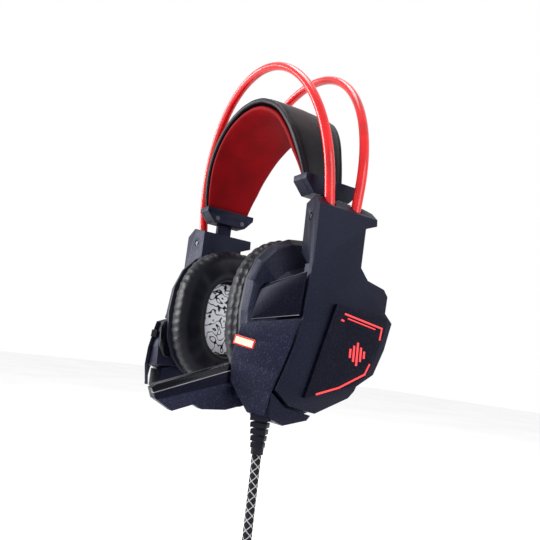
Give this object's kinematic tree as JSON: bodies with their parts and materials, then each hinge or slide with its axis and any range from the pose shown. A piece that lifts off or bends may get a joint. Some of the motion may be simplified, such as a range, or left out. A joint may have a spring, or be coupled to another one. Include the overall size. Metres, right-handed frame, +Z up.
{
  "type": "gaming headset",
  "caption": "Gaming headset with a suspended headband under two red wires, tilting angular ear cups, folding microphone paddle and braided cable",
  "frame": {"origin": "midway between the two ear cushions, at the ears' height, where the wearer's head is", "axes": "+X to the wearer's left, -Y to the wearer's front, +Z up towards the crown"},
  "size_m": [0.1822, 0.138, 0.443],
  "materials": {
    "wire_red": "glossy",
    "spring_steel": "bare",
    "lead_black": "matte",
    "shell_black": "satin",
    "panel_black": "fine grain",
    "textured_black": "coarse grain",
    "light_red": "lit diffuser",
    "board_green": "solder mask",
    "screw_steel": "plated",
    "skin_black": "grained leatherette",
    "pad_red": "soft leatherette",
    "elastic_black": "matte",
    "baffle_grey": "satin",
    "driver_metal": "bare",
    "cloth_white": "printed mesh",
    "cushion_black": "creased leatherette",
    "window_cream": "lit diffuser",
    "inlay_black": "polished",
    "rubber_black": "matte",
    "braid_black": "braided",
    "plug_metal": "bright"
  },
  "bodies": {
    "frame": {"front_wire_sheath": "wire_red", "rear_wire_sheath": "wire_red", "front_wire_core": "spring_steel", "rear_wire_core": "spring_steel", "crossover_lead": "lead_black", "left_yoke_shell": "shell_black", "right_yoke_shell": "shell_black", "left_yoke_cover": "shell_black", "right_yoke_cover": "shell_black", "left_side_panel": "panel_black", "right_side_panel": "panel_black", "left_accent_lights": "light_red", "right_accent_lights": "light_red", "left_emblem_light": "light_red", "right_emblem_light": "light_red", "left_panel_board": "board_green", "right_panel_board": "board_green", "yoke_screws": "screw_steel", "cup_tilt_pins": "screw_steel"},
    "headband": {"headband_skin": "skin_black", "headband_pad": "pad_red", "left_clamp_inner": "shell_black", "right_clamp_inner": "shell_black", "left_clamp_outer": "shell_black", "right_clamp_outer": "shell_black", "clamp_screws": "screw_steel", "return_elastics": "elastic_black"},
    "left_cup": {"left_cup_housing": "shell_black", "left_baffle": "baffle_grey", "left_driver": "driver_metal", "left_driver_cloth": "cloth_white", "left_ear_cushion": "cushion_black", "left_upper_plate": "panel_black", "left_lower_plate": "textured_black", "left_light_window": "window_cream", "left_light_board": "board_green", "left_baffle_screws": "screw_steel", "mic_pivot_pin": "screw_steel", "strain_relief": "rubber_black", "cable_lead": "braid_black", "cable_coil": "braid_black", "cable_tail": "braid_black", "cable_tie": "rubber_black", "usb_plug_body": "rubber_black", "usb_plug_shell": "plug_metal"},
    "right_cup": {"right_cup_housing": "shell_black", "right_baffle": "baffle_grey", "right_driver": "driver_metal", "right_driver_cloth": "cloth_white", "right_ear_cushion": "cushion_black", "right_upper_plate": "panel_black", "right_lower_plate": "textured_black", "right_light_window": "window_cream", "right_light_board": "board_green", "right_baffle_screws": "screw_steel", "right_front_inlay": "inlay_black"},
    "mic_boom": {"mic_boom_shell": "panel_black", "mic_boom_cover": "shell_black", "mic_capsule": "driver_metal"}
  },
  "joints": [
    {"name": "headband_slide", "type": "slide", "parent": "frame", "child": "headband", "axis": [0, 0, 1], "range_m": [0, 0.018], "stiffness_N_per_m": 60, "springref_m": -0.02, "deforming": ["return_elastics"]},
    {"name": "left_cup_tilt", "type": "hinge", "parent": "frame", "child": "left_cup", "pos_m": [0.0705, 0, 0], "axis": [0, 1, 0], "range_deg": [-3, 3]},
    {"name": "right_cup_tilt", "type": "hinge", "parent": "frame", "child": "right_cup", "pos_m": [-0.0705, 0, 0], "axis": [0, 1, 0], "range_deg": [-3, 3]},
    {"name": "mic_boom_hinge", "type": "hinge", "parent": "left_cup", "child": "mic_boom", "pos_m": [0.06, -0.043, -0.047], "axis": [-1, 0, 0], "range_deg": [-45, 45]}
  ]
}
